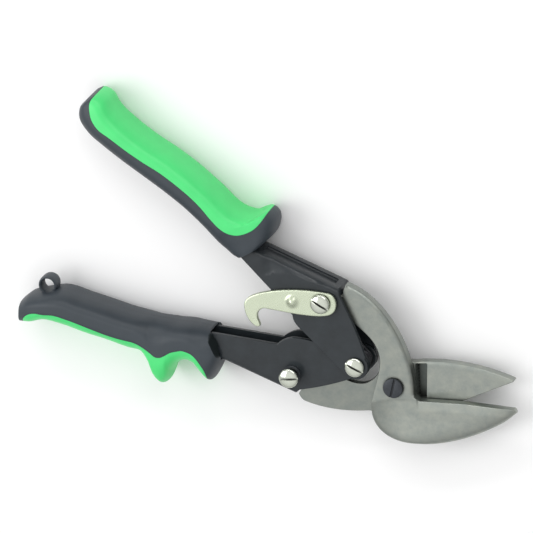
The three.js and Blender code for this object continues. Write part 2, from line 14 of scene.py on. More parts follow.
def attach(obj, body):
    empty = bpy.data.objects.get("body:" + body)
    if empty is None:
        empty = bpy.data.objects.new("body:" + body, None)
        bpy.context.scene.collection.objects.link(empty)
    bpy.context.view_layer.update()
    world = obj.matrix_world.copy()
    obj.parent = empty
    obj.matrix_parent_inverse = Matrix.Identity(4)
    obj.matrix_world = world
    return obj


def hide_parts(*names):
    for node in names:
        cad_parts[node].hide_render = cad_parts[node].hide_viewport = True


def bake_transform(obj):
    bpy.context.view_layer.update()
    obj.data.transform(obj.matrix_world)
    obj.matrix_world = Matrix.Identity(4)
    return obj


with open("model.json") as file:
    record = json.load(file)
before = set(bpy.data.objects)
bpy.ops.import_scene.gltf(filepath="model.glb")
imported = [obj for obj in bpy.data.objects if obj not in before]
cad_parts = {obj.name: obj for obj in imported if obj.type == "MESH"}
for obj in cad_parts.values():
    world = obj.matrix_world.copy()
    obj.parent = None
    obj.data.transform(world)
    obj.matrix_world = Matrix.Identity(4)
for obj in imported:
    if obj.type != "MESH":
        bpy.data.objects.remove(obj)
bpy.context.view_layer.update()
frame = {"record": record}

# ---- places shared with the CAD, in millimetres ----
BLADE_PIVOT = (0.0, 0.0)
UPPER_LINK = (-32.5, 42.6)
LOWER_LINK = (-50.0, 4.3)
HANDLE_PIVOT = (-17.6, 10.7)
SHEAR_GAP = 0.15
BLADE = 5.5
REAR_TANG = 4.0
PIN_BORE = 3.3
BOLT_BORE = 4.3
SHEET = 2.2
INNER_HALF = 6.5
OUTER_HALF = 9.0
GRIP_HALF = 13.0
LATCH_LOW = 9.3
LATCH_TOP = 11.3
HEAD_R = 4.75
HANDLE_END_R = 6.4
GAP = 0.3

joints = frame["record"]["behaviour"]["joints"]
pivot_joint = next(joint for joint in joints if joint["name"] == "handle_pivot")
ORIGIN = Vector(pivot_joint["pos_m"]) - Vector((*HANDLE_PIVOT, 0.0)) * 0.001
TO_ROW = Matrix.Translation(ORIGIN) @ Matrix.Scale(0.001, 4)


# ---- curves ----
def outline(start, *steps, spacing=0.5):
    """Closed outline as dense points. Steps: ("L", x, y), ("Q", cx, cy, x, y), ("C", ax, ay, bx, by, x, y),
    ("A", cx, cy, radius, from_degrees, to_degrees) and ("S", [(x, y), ...]) for a smooth run."""
    points = [np.array(start, float)]

    def add(run):
        run = np.array(run)
        length = np.linalg.norm(np.diff(run, axis=0), axis=1).cumsum()
        length = np.insert(length, 0, 0)
        count = max(1, round(length[-1] / spacing))
        for k in range(1, count + 1):
            at = length[-1] * k / count
            points.append(np.array([np.interp(at, length, run[:, 0]), np.interp(at, length, run[:, 1])]))

    for kind, *v in steps:
        here = points[-1]
        t = np.linspace(0, 1, 40)[:, None]
        if kind == "L":
            add([here, v])
        elif kind == "Q":
            c, e = np.array(v[:2]), np.array(v[2:])
            add((1 - t) ** 2 * here + 2 * t * (1 - t) * c + t * t * e)
        elif kind == "C":
            a, b, e = np.array(v[:2]), np.array(v[2:4]), np.array(v[4:])
            add((1 - t) ** 3 * here + 3 * t * (1 - t) ** 2 * a + 3 * t * t * (1 - t) * b + t ** 3 * e)
        elif kind == "A":
            angle = np.radians(np.linspace(v[3], v[4], 60))
            arc = np.stack([v[0] + v[2] * np.cos(angle), v[1] + v[2] * np.sin(angle)], 1)
            add(np.vstack([here, arc]) if np.linalg.norm(arc[0] - here) > 1e-3 else arc)
        elif kind == "S":
            knots = np.vstack([here, v[0]])
            fine = [spline(knots, s) for s in np.linspace(0, 1, 16 * len(knots))]
            add(fine)
    points = np.array(points)
    keep = np.linalg.norm(points - np.roll(points, 1, axis=0), axis=1) > 1e-3
    return points[keep]


def spline(knots, t):
    """Centripetal Catmull-Rom curve through knots, at t from 0 to 1."""
    last = len(knots) - 1
    at = min(t * last, last - 1e-9)
    i, w = int(at), at - int(at)
    p1, p2 = knots[i], knots[i + 1]
    p0 = knots[i - 1] if i > 0 else 2 * p1 - p2
    p3 = knots[i + 2] if i + 2 <= last else 2 * p2 - p1
    d0, d1, d2 = (max(np.linalg.norm(b - a) ** 0.5, 1e-4) for a, b in ((p0, p1), (p1, p2), (p2, p3)))
    m1 = ((p1 - p0) / d0 - (p2 - p0) / (d0 + d1) + (p2 - p1) / d1) * d1
    m2 = ((p2 - p1) / d1 - (p3 - p1) / (d1 + d2) + (p3 - p2) / d2) * d1
    return (
        p1 * (2 * w**3 - 3 * w**2 + 1) + m1 * (w**3 - 2 * w**2 + w)
        + p2 * (-2 * w**3 + 3 * w**2) + m2 * (w**3 - w**2)
    )


def circle(centre, radius, count=48):
    a = np.linspace(0, 2 * math.pi, count, endpoint=False)
    return np.stack([centre[0] + radius * np.cos(a), centre[1] + radius * np.sin(a)], 1)


def inside(points, loop):
    x, y = points[:, 0:1], points[:, 1:2]
    x1, y1 = loop[:, 0], loop[:, 1]
    x2, y2 = np.roll(x1, -1), np.roll(y1, -1)
    crosses = ((y1 > y) != (y2 > y)) & (x < (x2 - x1) * (y - y1) / np.where(y2 == y1, 1e-12, y2 - y1) + x1)
    return crosses.sum(1) % 2 == 1


def distance(points, loop, closed=True):
    a = loop if closed else loop[:-1]
    b = np.roll(loop, -1, axis=0) if closed else loop[1:]
    ab = b - a
    ap = points[:, None] - a[None]
    t = np.clip((ap * ab).sum(-1) / np.maximum((ab * ab).sum(-1), 1e-12), 0, 1)
    return np.linalg.norm(ap - t[..., None] * ab, axis=-1).min(1)


def ramp(value, low, high):
    t = np.clip((value - low) / (high - low), 0, 1)
    return t * t * (3 - 2 * t)


def rounded(d, radius):
    """How far a surface drops near an edge that is rounded over radius."""
    t = np.clip(1 - d / radius, 0, 1)
    return radius * (1 - np.sqrt(np.maximum(1 - t * t, 0)))


# ---- meshes ----
def mesh_object(name, verts, faces):
    mesh = bpy.data.meshes.new(name)
    mesh.from_pydata([tuple(v) for v in verts], [], [tuple(f) for f in faces])
    mesh.validate()
    obj = bpy.data.objects.new(name, mesh)
    bpy.context.scene.collection.objects.link(obj)
    return obj


def sculpted(name, edge, holes, top, bottom, lines=(), grid=0.9, insets=(0.12, 0.3, 0.6)):
    """Closed plate with sculpted faces: top and bottom give z from (points, distance to the edge).
    Mesh edges run along lines, so that a crease there stays sharp."""
    loops = [edge, *holes]
    rings = []
    for number, loop in enumerate(loops):
        ahead = np.roll(loop, -1, axis=0) - np.roll(loop, 1, axis=0)
        normal = np.stack([-ahead[:, 1], ahead[:, 0]], 1)
        normal /= np.maximum(np.linalg.norm(normal, axis=1, keepdims=True), 1e-9)
        turn = (loop[:, 0] * np.roll(loop[:, 1], -1) - loop[:, 1] * np.roll(loop[:, 0], -1)).sum()
        inward = 1 if (turn > 0) == (number == 0) else -1
        for step in insets:
            rings.append((loop + normal * inward * step, step))
    low, high = edge.min(0), edge.max(0)
    xs, ys = np.arange(low[0], high[0], grid), np.arange(low[1], high[1], grid)
    field = np.array([(x + (j % 2) * grid / 2, y) for j, y in enumerate(ys) for x in xs])

    def solid(p):
        ok = inside(p, edge)
        for hole in holes:
            ok &= ~inside(p, hole)
        return ok

    def nearest(p):
        return np.min([distance(p, loop) for loop in loops], axis=0)

    def off_lines(p, room):
        far = np.ones(len(p), bool)
        for line in lines:
            far &= distance(p, line, closed=False) > room
        return far

    chosen = []
    for ring, step in rings:
        chosen.append(ring[solid(ring) & (nearest(ring) > step * 0.93) & off_lines(ring, 0.1)])
    clear = solid(field)
    clear[clear] = (nearest(field[clear]) > insets[-1] + grid * 0.45) & off_lines(field[clear], grid * 0.4)
    chosen.append(field[clear])
    rims = np.vstack(loops)
    flat = np.vstack([rims, *chosen])
    edges, start = [], 0
    for loop in loops:
        n = len(loop)
        edges += [(start + i, start + (i + 1) % n) for i in range(n)]
        start += n
    start = len(flat)
    for line in lines:
        kept = line[solid(line) & (nearest(line) > 0.05)]
        flat = np.vstack([flat, kept])
        for i in range(len(kept) - 1):
            if np.linalg.norm(kept[i + 1] - kept[i]) < 3 * grid:
                edges.append((start + i, start + i + 1))
        start += len(kept)
    out, _, tris, origins, _, _ = delaunay_2d_cdt([Vector(p) for p in flat], edges, [], 0, 1e-5)
    flat_out = np.array([tuple(p) for p in out])
    tris = np.array([t for t in tris if len(t) == 3])
    tris = tris[solid(flat_out[tris].mean(1))]
    d = nearest(flat_out)
    source = [o[0] if o else -1 for o in origins]
    index_of = {s: i for i, s in enumerate(source) if s >= 0}
    d[[index_of[i] for i in range(len(rims)) if i in index_of]] = 0
    z_top, z_low = top(flat_out, d), bottom(flat_out, d)
    n = len(flat_out)
    verts = np.vstack([np.column_stack([flat_out, z_top]), np.column_stack([flat_out, z_low])])
    faces = [list(t) for t in tris] + [[t[2] + n, t[1] + n, t[0] + n] for t in tris]
    count = {}
    for t in tris:
        for a, b in ((t[0], t[1]), (t[1], t[2]), (t[2], t[0])):
            count[(a, b)] = count.get((a, b), 0) + 1
    for a, b in count:
        if (b, a) not in count:
            faces.append([b, a, a + n, b + n])
    obj = mesh_object(name, verts, faces)
    clean(obj)
    return obj


def clean(obj):
    bm = bmesh.new()
    bm.from_mesh(obj.data)
    bmesh.ops.remove_doubles(bm, verts=bm.verts, dist=1e-5)
    loose = [v for v in bm.verts if not v.link_faces]
    bmesh.ops.delete(bm, geom=loose, context="VERTS")
    bmesh.ops.recalc_face_normals(bm, faces=bm.faces)
    bm.to_mesh(obj.data)
    bm.free()


def drop_crumbs(obj, fewest=30):
    """Removes separate bits of fewer vertices, left where two cuts meet."""
    bm = bmesh.new()
    bm.from_mesh(obj.data)
    seen, crumbs = set(), []
    for seed in bm.verts:
        if seed in seen:
            continue
        part, front = {seed}, [seed]
        while front:
            for link in front.pop().link_edges:
                for vert in link.verts:
                    if vert not in part:
                        part.add(vert)
                        front.append(vert)
        seen |= part
        if len(part) < fewest:
            crumbs += part
    bmesh.ops.delete(bm, geom=crumbs, context="VERTS")
    bm.to_mesh(obj.data)
    bm.free()


def prism(name, loop, low, high):
    n = len(loop)
    verts = [(x, y, low) for x, y in loop] + [(x, y, high) for x, y in loop]
    faces = [list(range(n))[::-1], list(range(n, 2 * n))]
    faces += [[i, (i + 1) % n, n + (i + 1) % n, n + i] for i in range(n)]
    obj = mesh_object(name, verts, faces)
    clean(obj)
    return obj


def turned(name, centre, profile, sides=64):
    """Solid of revolution round Z. profile is (radius, z) from axis to axis."""
    verts, faces = [], []
    rings = []
    for r, z in profile:
        if r < 1e-6:
            rings.append([len(verts)])
            verts.append((centre[0], centre[1], z))
        else:
            rings.append(list(range(len(verts), len(verts) + sides)))
            for k in range(sides):
                a = 2 * math.pi * k / sides
                verts.append((centre[0] + r * math.cos(a), centre[1] + r * math.sin(a), z))
    for a, b in zip(rings, rings[1:]):
        for k in range(sides):
            m = (k + 1) % sides
            if len(a) == 1 and len(b) == 1:
                continue
            if len(a) == 1:
                faces.append([a[0], b[m], b[k]])
            elif len(b) == 1:
                faces.append([a[k], a[m], b[0]])
            else:
                faces.append([a[k], a[m], b[m], b[k]])
    obj = mesh_object(name, verts, faces)
    clean(obj)
    return obj


def block(name, centre, size, degrees):
    bm = bmesh.new()
    bmesh.ops.create_cube(bm, size=1)
    turn = Matrix.Rotation(math.radians(degrees), 4, "Z")
    bm.transform(Matrix.Translation(centre) @ turn @ Matrix.Diagonal((*size, 1)))
    mesh = bpy.data.meshes.new(name)
    bm.to_mesh(mesh)
    bm.free()
    obj = bpy.data.objects.new(name, mesh)
    bpy.context.scene.collection.objects.link(obj)
    return obj


def bake(obj):
    """Applies the object's modifiers to its mesh."""
    graph = bpy.context.evaluated_depsgraph_get()
    done = bpy.data.meshes.new_from_object(obj.evaluated_get(graph))
    obj.modifiers.clear()
    obj.data = done
    return obj


def combine(obj, tool, how):
    modifier = obj.modifiers.new("join", "BOOLEAN")
    modifier.operation, modifier.object, modifier.solver = how, tool, "EXACT"
    bake(obj)
    return obj


def subtract(obj, *tools):
    for tool in tools:
        combine(obj, tool, "DIFFERENCE")
        bpy.data.objects.remove(tool)
    return obj


def bevel(obj, width, segments=3, degrees=30):
    modifier = obj.modifiers.new("edges", "BEVEL")
    modifier.width, modifier.segments, modifier.limit_method = width, segments, "ANGLE"
    modifier.angle_limit = math.radians(degrees)
    return bake(obj)


def place(obj, body, finish, nodes=(), sharp=32):
    """Moves a finished piece from drawing millimetres to the row frame and hands it to its body.
    Edges that bend by more than sharp degrees stay sharp. A piece without a body is left unattached."""
    obj.data.transform(TO_ROW)
    obj.data.materials.clear()
    obj.data.materials.append(MATERIALS[finish])
    obj.data.shade_smooth()
    obj.data.set_sharp_from_angle(angle=math.radians(sharp))
    if body:
        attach(obj, body)
    if nodes:
        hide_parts(*nodes)
    return obj


def mark_ground(obj, share):
    """Stores how bright a forging is for its material, from 0 for black skin to 1 for ground steel. Low
    values in the back blade's pocket are painted shade.
    """
    flat = np.array([(v.co.x, v.co.y) for v in obj.data.vertices])
    ground = obj.data.attributes.new("ground", "FLOAT", "POINT")
    ground.data.foreach_set("value", share(flat).astype(np.float32))


# ---- materials ----
GRAIN_DEPTH, DENT_DEPTH = 0.00004, 0.0006


def material(name, color, roughness, metallic, *, fleck, fleck_scale, grain, grain_scale, rough_change,
             dent=0.0, dent_scale=60, tint=None, coat=0.0, specular=0.5, painted_corner_shade=0.0, reach=0.0015, skin_and_shade=None):
    """Procedural finish. Colour has soft flecks, from color to tint, roughness and bump have fine grain, and
    dent is a wider bump. The corner-shade amount paints shade into the colour in corners closer than reach.
    The skin colour darkens steel that isn't ground, and also paints shade into the back blade's pocket."""
    made = bpy.data.materials.new(name)
    made.use_nodes = True
    tree = made.node_tree
    shader = tree.nodes["Principled BSDF"]
    shader.inputs["Metallic"].default_value = metallic
    shader.inputs["Roughness"].default_value = roughness
    shader.inputs["Base Color"].default_value = (*color, 1)
    if coat:
        shader.inputs["Coat Weight"].default_value = coat
        shader.inputs["Coat Roughness"].default_value = 0.12
    shader.inputs["Specular IOR Level"].default_value = specular
    where = tree.nodes.new("ShaderNodeTexCoord")

    def noise(scale, detail, rough=0.6):
        node = tree.nodes.new("ShaderNodeTexNoise")
        node.inputs["Scale"].default_value = scale
        node.inputs["Detail"].default_value = detail
        node.inputs["Roughness"].default_value = rough
        tree.links.new(where.outputs["Object"], node.inputs["Vector"])
        return node.outputs["Fac"]

    cloud = noise(fleck_scale, 8, 0.65)
    fine = noise(grain_scale, 3)
    mix = tree.nodes.new("ShaderNodeValToRGB")
    other = tint or color
    mix.color_ramp.elements[0].position = 0.32
    mix.color_ramp.elements[1].position = 0.68
    mix.color_ramp.elements[0].color = (*[c * (1 - fleck) for c in color], 1)
    mix.color_ramp.elements[1].color = (*[min(1, c * (1 + fleck)) for c in other], 1)
    tree.links.new(cloud, mix.inputs["Fac"])
    finish = mix.outputs["Color"]
    # The ground attribute darkens unground skin with the skin colour, and paints shade into the back blade's
    # pocket.
    if skin_and_shade:
        ground = tree.nodes.new("ShaderNodeAttribute")
        ground.attribute_name = "ground"
        blend = tree.nodes.new("ShaderNodeMix")
        blend.data_type = "RGBA"
        blend.blend_type = "MULTIPLY"
        colors = [socket for socket in blend.inputs if socket.type == "RGBA"]
        colors[1].default_value = (*skin_and_shade, 1)
        rest = tree.nodes.new("ShaderNodeMath")
        rest.operation = "SUBTRACT"
        rest.inputs[0].default_value = 1
        tree.links.new(ground.outputs["Fac"], rest.inputs[1])
        tree.links.new(rest.outputs["Value"], blend.inputs["Factor"])
        tree.links.new(finish, colors[0])
        finish = next(socket for socket in blend.outputs if socket.type == "RGBA")
    # Painted shade: ambient occlusion darkens the colour in corners closer than reach.
    if painted_corner_shade:
        painted_shade_ao = tree.nodes.new("ShaderNodeAmbientOcclusion")
        painted_shade_ao.samples = 8
        painted_shade_ao.inputs["Distance"].default_value = reach
        darken = tree.nodes.new("ShaderNodeMapRange")
        darken.inputs["From Min"].default_value = 0.35
        darken.inputs["From Max"].default_value = 0.85
        darken.inputs["To Min"].default_value = 1 - painted_corner_shade
        tree.links.new(painted_shade_ao.outputs["AO"], darken.inputs["Value"])
        shade = tree.nodes.new("ShaderNodeVectorMath")
        shade.operation = "SCALE"
        tree.links.new(finish, shade.inputs[0])
        tree.links.new(darken.outputs["Result"], shade.inputs["Scale"])
        finish = shade.outputs["Vector"]
    tree.links.new(finish, shader.inputs["Base Color"])
    spread = tree.nodes.new("ShaderNodeMapRange")
    spread.inputs["From Min"].default_value = 0.3
    spread.inputs["From Max"].default_value = 0.7
    spread.inputs["To Min"].default_value = roughness - rough_change
    spread.inputs["To Max"].default_value = roughness + rough_change
    tree.links.new(fine, spread.inputs["Value"])
    tree.links.new(spread.outputs["Result"], shader.inputs["Roughness"])
    last = None
    for strength, height, depth in ((grain, fine, GRAIN_DEPTH), (dent, noise(dent_scale, 3), DENT_DEPTH)):
        if not strength:
            continue
        bump = tree.nodes.new("ShaderNodeBump")
        bump.inputs["Strength"].default_value = strength
        bump.inputs["Distance"].default_value = depth
        tree.links.new(height, bump.inputs["Height"])
        if last:
            tree.links.new(last, bump.inputs["Normal"])
        last = bump.outputs["Normal"]
    if last:
        tree.links.new(last, shader.inputs["Normal"])
    return made


# The corner-shade amounts below paint shade into corners, slots and recesses.
FINISHES = {
    # The blade's skin colour also paints shade into the back blade's pocket.
    "blade_steel": ((0.315, 0.345, 0.322), 0.38, 0.9, dict(
        fleck=0.10, fleck_scale=170, grain=0.45, grain_scale=1500, dent=0.08, dent_scale=140,
        rough_change=0.08, tint=(0.335, 0.35, 0.312), painted_corner_shade=0.7, reach=0.002, skin_and_shade=(0.12, 0.14, 0.15))),
    "handle_coating": ((0.019, 0.024, 0.028), 0.40, 0.0, dict(
        fleck=0.2, fleck_scale=120, grain=0.15, grain_scale=2200, dent=0.16, dent_scale=75, rough_change=0.06,
        coat=0.22, specular=0.28)),
    "black_oxide": ((0.040, 0.045, 0.052), 0.42, 0.5, dict(
        fleck=0.2, fleck_scale=300, grain=0.2, grain_scale=2500, rough_change=0.08, painted_corner_shade=0.8)),
    "plated_screws": ((0.60, 0.63, 0.55), 0.12, 1.0, dict(
        fleck=0.05, fleck_scale=400, grain=0.05, grain_scale=3000, rough_change=0.03,
        painted_corner_shade=0.93, reach=0.0016)),
    "plated_latch": ((0.575, 0.63, 0.485), 0.27, 0.92, dict(
        fleck=0.02, fleck_scale=200, grain=0.02, grain_scale=2500, rough_change=0.03,
        painted_corner_shade=0.85, reach=0.0012)),
    "spring_steel": ((0.035, 0.036, 0.04), 0.32, 0.8, dict(
        fleck=0.2, fleck_scale=300, grain=0.1, grain_scale=2500, rough_change=0.06)),
    "black_vinyl": ((0.030, 0.040, 0.050), 0.48, 0.0, dict(
        fleck=0.06, fleck_scale=160, grain=0.35, grain_scale=2600, dent=0.04, dent_scale=120,
        rough_change=0.05)),
    # Near-black finish for the sheets that paint the shade inside the lower grip's mouth.
    "mouth_shade_sheet": ((0.012, 0.017, 0.018), 0.6, 0.0, dict(
        fleck=0.06, fleck_scale=160, grain=0.3, grain_scale=2600, rough_change=0.05, specular=0.2)),
    "green_vinyl": ((0.066, 0.70, 0.190), 0.40, 0.0, dict(
        fleck=0.03, fleck_scale=120, grain=0.25, grain_scale=2600, dent=0.03, dent_scale=120,
        rough_change=0.04)),
}
MATERIALS = {}
for name, (color, roughness, metallic, details) in FINISHES.items():
    MATERIALS[name] = material(name, color, roughness, metallic, **details)

# ---- blades ----
CUTTING_LINE = np.array([(12.2, -6.4), (35, -6.7), (58.8, -8.6)])
BELLY_RUN = [(53.2, -16), (45.4, -20.3), (37.7, -23.7), (30, -26.4), (22.3, -28.2), (14.7, -29), (8, -28.9)]
FRONT_OUTLINE = outline(
    (10.9, -5.2), ("L", 12.2, -6.4), ("L", 35, -6.7), ("L", 58.8, -8.6), ("Q", 59.9, -9.6, 59.7, -10.9),
    ("S", BELLY_RUN),
    ("C", -4, -28.6, -12.4, -22, -12.2, -12.5), ("C", -11.6, -6, -7.4, 3, -6.3, 12),
    ("C", -6, 19, -9, 23.4, -15, 28.6), ("L", -25.6, 37.9), ("A", *UPPER_LINK, 6.0, -34.3, -310),
    ("L", -23.1, 44.9), ("L", -22.9, 47.4), ("L", -21.6, 50.3), ("Q", -20.4, 50.5, -18.8, 49.4),
    ("C", -3, 42.6, 9.6, 20, 9.7, 0), ("L", 9.8, -3.4), ("Q", 9.9, -4.8, 10.9, -5.2),
)
BELLY_EDGE = outline((59.7, -10.9), ("S", BELLY_RUN), ("C", -4, -28.6, -12.4, -22, -12.2, -12.5))
BELLY_EDGE = BELLY_EDGE[1:]
TANG_RIM = outline((-20, 50), ("C", -3, 42.6, 9.6, 20, 9.7, 0), ("L", 9.8, -3))
EDGE_BAND = 4.4
EDGE_HEIGHT = 5.0
BAND_START, BAND_FULL = 11.0, 11.7
BAND_REST = 11.2
FORGED_EDGE = 0.45
JAW_SLOPE, JAW_FALL = 0.055, 9
JAW_STEP = 0.25
BELLY_DROP = 0.42
RIM_WIDTH, RIM_DROP = 1.3, 0.9
RIDGE = np.array([(-12.4, -8.2), (0, -5.4), (9.4, -5.6), (12, -6.4), (60, -8.6)])
BAND_LINE = outline((11.7, -10.7), ("L", 35, -11.0), ("L", 57.6, -11.9), spacing=0.6)
BAND_END = [
    outline((x, -6.6), ("L", x, -10.7), spacing=0.4)
    for x in (BAND_START, (BAND_START + BAND_FULL) / 2, BAND_FULL)
]
RIDGE_LINE = outline((-12.4, -8.2), ("L", 0, -5.4), ("L", 9.4, -5.6), spacing=0.6)


def under_ridge(p):
    """Distance below the ridge where the jaw begins, negative on the hub and the tang."""
    return np.interp(p[:, 0], *RIDGE.T) - p[:, 1]


def front_top(p, d):
    x = p[:, 0]
    z = BLADE - rounded(d, FORGED_EDGE)
    fall = np.clip(under_ridge(p), 0, None)
    z -= JAW_SLOPE * np.minimum(fall, JAW_FALL) + JAW_STEP * ramp(fall, 0, 1.2) * ramp(-x, -12, -2)
    below = distance(p, CUTTING_LINE, closed=False)
    strip = ramp(x, BAND_START, BAND_FULL) * (below < EDGE_BAND)
    z -= strip * (BLADE - EDGE_HEIGHT) * (1 - below / EDGE_BAND)
    belly_width = 4.5 + 5 * ramp(x, 2, 30)
    z -= rounded(distance(p, BELLY_EDGE, closed=False), belly_width) * BELLY_DROP
    rim = distance(p, TANG_RIM, closed=False)
    return z - RIM_DROP * np.clip(1 - rim / RIM_WIDTH, 0, 1)


def front_bottom(p, d):
    return SHEAR_GAP + rounded(d, 0.2)


def front_ground(p):
    jaw = ramp(under_ridge(p), -0.3, 1.5)
    band = (distance(p, CUTTING_LINE, closed=False) < EDGE_BAND) * (p[:, 0] > BAND_REST)
    return 0.83 + jaw * (0.15 - 0.3 * ramp(-p[:, 0], -4, 10)) + 0.1 * band


front_blade = sculpted(
    "front_blade_forging", FRONT_OUTLINE, [circle(BLADE_PIVOT, BOLT_BORE), circle(UPPER_LINK, PIN_BORE)],
    front_top, front_bottom, lines=[BAND_LINE, *BAND_END, RIDGE_LINE], grid=0.8,
)
mark_ground(front_blade, front_ground)
place(front_blade, "front_blade", "blade_steel", ["front_blade"], sharp=24)

BACK_OUTLINE = outline(
    (9, 11.3), ("C", 26, 13.6, 44, 10.2, 57, 5), ("Q", 58.6, 4.5, 57.9, 3.9), ("L", 33.7, -6.6),
    ("Q", 20, -11.6, 8, -14), ("Q", -4, -15.8, -14.6, -14.4), ("C", -26, -15.8, -38, -14.6, -46.6, -11.2),
    ("Q", -48.6, -10, -49.3, -7.6), ("L", -48.6, -6.6), ("L", -47, -4.6), ("L", -47.9, -2.2),
    ("A", *LOWER_LINK, 5.5, -60, -290), ("L", -31, 3.8), ("C", -24, -0.2, -17, -3.4, -11.3, 2),
    ("C", -8.6, 4.6, -7, 11, -1, 11.2), ("L", 9, 11.3),
)
BACK_TOP = outline((9, 11.3), ("C", 26, 13.6, 44, 10.2, 57, 5))
GROUND_LINE = outline((57.4, 4.1), ("Q", 36, -0.4, 18, -3.5), spacing=0.6)
GROUND_START = 16
GROUND_SLOPE, GROUND_WIDTH = 0.08, 2.5
POCKET = outline(
    (9.6, 10.8), ("L", 15.7, 11.2), ("L", 14.6, -8), ("L", 10.4, -8), ("L", 9.6, -6), ("L", 9.6, 10.8)
)
POCKET_DEPTH = 4.2


def under_ground_line(p):
    return np.interp(p[:, 0], *GROUND_LINE[::-1].T) - p[:, 1]


def back_top(p, d):
    z = -SHEAR_GAP - rounded(d, 0.4)
    under = under_ground_line(p)
    ground = (p[:, 0] > GROUND_START) & (under > 0)
    z -= ground * GROUND_SLOPE * np.clip(under, 0, GROUND_WIDTH)
    z -= 0.3 * np.clip(1 - distance(p, BACK_TOP, closed=False), 0, 1)
    return z - inside(p, POCKET) * POCKET_DEPTH * ramp(distance(p, POCKET), 0.0, 0.35)


def back_bottom(p, d):
    tang = ramp(-p[:, 0], 8.5, 9.5)
    return -BLADE + rounded(d, 0.4) + (BLADE - REAR_TANG) * tang


def back_ground_and_pocket_shade(p):
    band = (under_ground_line(p) > 0) * (p[:, 0] > GROUND_START + 1)
    # The pocket is darkened as painted shade.
    painted_pocket_shade = inside(p, POCKET) * ramp(distance(p, POCKET), 0.05, 0.5)
    return (0.68 + 0.21 * ramp(p[:, 0], 7, 9) + 0.1 * band) * (1 - 0.7 * painted_pocket_shade)


back_blade = sculpted(
    "back_blade_forging", BACK_OUTLINE, [circle(BLADE_PIVOT, 4.5), circle(LOWER_LINK, PIN_BORE)],
    back_top, back_bottom, lines=[GROUND_LINE, POCKET], grid=0.8,
)
mark_ground(back_blade, back_ground_and_pocket_shade)
place(back_blade, "back_blade", "blade_steel", ["back_blade"], sharp=24)

# ---- screws, nuts and small turned pieces ----
SCREW_R = 3.0
NECK_R = 3.2
HEAD_SIDE, HEAD_DOME = 0.9, 1.46
SLOT_WIDTH = 1.1
SPACER_R = 4.4
LATCH_SEAT = LATCH_TOP + GAP
LOWER_SEAT = INNER_HALF + GAP
UPPER_SEAT = OUTER_HALF + GAP


def dome(radius, base, height, steps=14):
    turns = [math.pi / 2 * k / steps for k in range(steps)]
    return [*[(radius * math.cos(a), base + height * math.sin(a)) for a in turns], (0, base + height)]


def screw(name, centre, bottom, seat, slot_degrees, shoulder=None):
    """Domed slotted screw. A shoulder is the height from which a thicker neck carries the head."""
    low = [(0, bottom), (SCREW_R - 0.5, bottom), (SCREW_R, bottom + 0.5)]
    neck = [(SCREW_R, shoulder), (NECK_R, shoulder), (NECK_R, seat)] if shoulder else [(SCREW_R, seat)]
    head = [(HEAD_R - 0.15, seat), (HEAD_R, seat + 0.15), *dome(HEAD_R, seat + HEAD_SIDE, HEAD_DOME)]
    made = turned(name, centre, [*low, *neck, *head])
    subtract(made, block("slot", (*centre, seat + 2.4), (12, SLOT_WIDTH, 2.8), slot_degrees))
    return bevel(made, 0.12, 2, 35)


def nut(name, centre, across, hole, low, high, degrees):
    chamfer = across * 0.07
    body = turned("body", centre, [
        (hole, low), (across / 2 - chamfer, low), (across / 2, low + chamfer * 0.6),
        (across / 2, high - chamfer * 0.6), (across / 2 - chamfer, high), (hole, high), (hole, low),
    ])
    angles = np.radians(np.arange(6) * 60 + degrees)
    hexagon = np.array(centre) + across / 2 * np.stack([np.cos(angles), np.sin(angles)], 1)
    made = prism(name, hexagon, low, high)
    combine(made, body, "INTERSECT")
    bpy.data.objects.remove(body)
    return made


def ring(name, centre, outer, inner, low, high, edge=0.25):
    return turned(name, centre, [
        (inner, low), (outer - edge, low), (outer, low + edge), (outer, high - edge), (outer - edge, high),
        (inner, high), (inner, low),
    ])


place(screw("handle_screw", HANDLE_PIVOT, -12.6, UPPER_SEAT, -27), "lower_handle", "plated_screws",
      ["handle_pivot_screw"])
place(screw("upper_screw", UPPER_LINK, -12.6, LATCH_SEAT, -32), "upper_handle", "plated_screws",
      ["upper_link_screw"])
place(screw("post_screw", LOWER_LINK, -11.4, LATCH_SEAT, 3, shoulder=LOWER_SEAT), "lower_handle",
      "plated_screws", ["latch_post_screw"])
place(ring("post_collar", LOWER_LINK, 4.5, 3.25, INNER_HALF + 0.02, INNER_HALF + 1.1), "lower_handle",
      "black_oxide")
place(nut("handle_nut", HANDLE_PIVOT, 10, PIN_BORE, -12.2, -UPPER_SEAT, 5), "lower_handle", "plated_screws",
      ["handle_pivot_nut"])
place(nut("upper_nut", UPPER_LINK, 10, PIN_BORE, -13, -UPPER_SEAT, 20), "upper_handle", "plated_screws",
      ["upper_link_nut"])
place(nut("lower_nut", LOWER_LINK, 10, PIN_BORE, -11, -LOWER_SEAT, 12), "lower_handle", "plated_screws",
      ["lower_link_nut"])
place(nut("bolt_nut", BLADE_PIVOT, 14.5, BOLT_BORE, -12.2, -7.3, 10), "front_blade", "black_oxide",
      ["blade_pivot_nut"])
place(ring("bolt_washer", BLADE_PIVOT, 8.2, BOLT_BORE, -7.0, -5.8), "front_blade", "black_oxide",
      ["blade_pivot_washer"])

BOLT_SEAT = BLADE + GAP
bolt = turned("pivot_bolt", BLADE_PIVOT, [
    (0, -13), (3.5, -13), (4, -12.5), (4, BOLT_SEAT), (4.8, BOLT_SEAT), (4.9, BOLT_SEAT + 0.1),
    (4.9, BOLT_SEAT + 1.0), (4.75, BOLT_SEAT + 1.25), (4.45, BOLT_SEAT + 1.4), (0, BOLT_SEAT + 1.4),
])
subtract(bolt, block("slot", (*BLADE_PIVOT, BOLT_SEAT + 1.7), (12, 1.15, 2.0), 75))
place(bevel(bolt, 0.1, 2, 40), "front_blade", "black_oxide", ["blade_pivot_bolt"])

